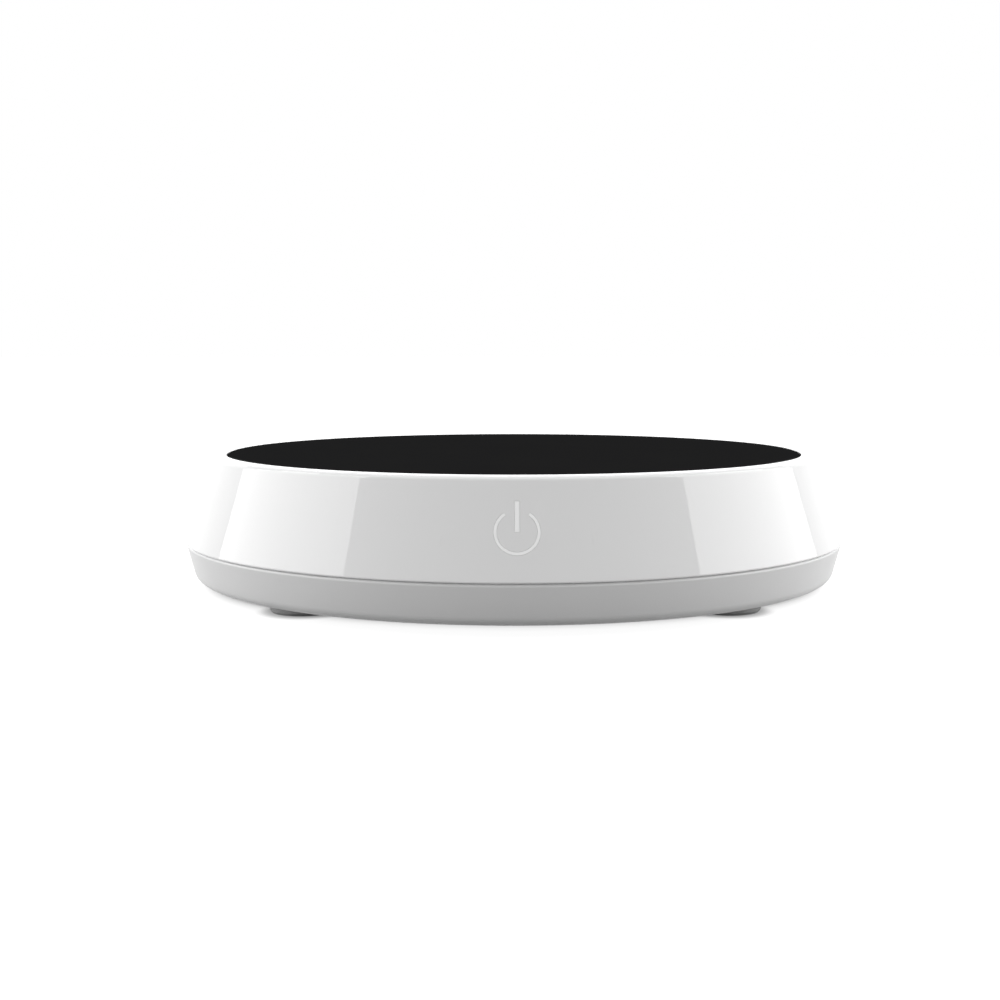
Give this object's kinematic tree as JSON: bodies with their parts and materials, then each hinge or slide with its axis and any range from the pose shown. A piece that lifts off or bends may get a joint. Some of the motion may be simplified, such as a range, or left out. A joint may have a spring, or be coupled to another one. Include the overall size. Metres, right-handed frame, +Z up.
{
  "type": "electric mug warmer",
  "caption": "Low round desk mug warmer with sloping plastic sides, a flush black glass warming plate, a touch power symbol on the front and a barrel power inlet at the back.",
  "frame": {"origin": "middle of the case, at the height of the surface that the feet stand on", "axes": "+Z up, -Y towards the front with the power symbol, +Y towards the back with the inlet, +X to the right seen from the front"},
  "size_m": [0.13, 0.13, 0.0259],
  "materials": {
    "gloss_white": "gloss moulded white plastic",
    "satin_grey": "satin moulded light-grey plastic",
    "black_glass": "black back-printed toughened glass",
    "silicone": "grey silicone",
    "symbol_white": "translucent white inlay",
    "foot_rubber": "matt grey rubber",
    "dark_steel": "blackened steel screws",
    "aluminium_sheet": "plain aluminium",
    "amber_film": "amber polyimide film with etched track",
    "fibre_pad": "pressed white fibre",
    "plated_steel": "zinc-plated steel",
    "black_plastic": "black moulded plastic",
    "brass_barrel": "plain brass barrel",
    "board_green": "green solder mask",
    "ferrite": "dark grey ferrite",
    "nylon_natural": "natural nylon",
    "nickel": "nickel-plated contacts",
    "red_silicone": "red silicone insulation",
    "black_lead": "black insulation",
    "ribbon_grey": "grey ribbon cable",
    "led_white": "clear white lamp body"
  },
  "bodies": {
    "root": {"upper_shell": "gloss_white", "lower_shell": "satin_grey", "glass_plate": "black_glass", "glass_seal_ring": "silicone", "power_symbol": "symbol_white", "foot_front_left": "foot_rubber", "foot_front_right": "foot_rubber", "foot_rear_left": "foot_rubber", "foot_rear_right": "foot_rubber", "case_screws": "dark_steel", "heat_spreader": "aluminium_sheet", "heating_film": "amber_film", "insulating_pad": "fibre_pad", "heater_clamp_plate": "plated_steel", "clamp_screws": "plated_steel", "thermistor": "black_plastic", "thermal_fuse": "brass_barrel", "control_board": "board_green", "board_screws": "plated_steel", "main_chip": "black_plastic", "power_transistor": "black_plastic", "inductor": "ferrite", "smoothing_capacitors": "aluminium_sheet", "chip_resistors": "black_plastic", "heater_header": "nylon_natural", "sensor_header": "nylon_natural", "touch_header": "nylon_natural", "jack_housing": "black_plastic", "jack_centre_pin": "nickel", "jack_spring_contact": "nickel", "heater_leads": "red_silicone", "fuse_leads": "red_silicone", "thermistor_leads": "black_lead", "touch_ribbon": "ribbon_grey", "touch_board": "board_green", "touch_board_screws": "plated_steel", "touch_spring": "nickel", "indicator_led": "led_white"}
  },
  "joints": []
}
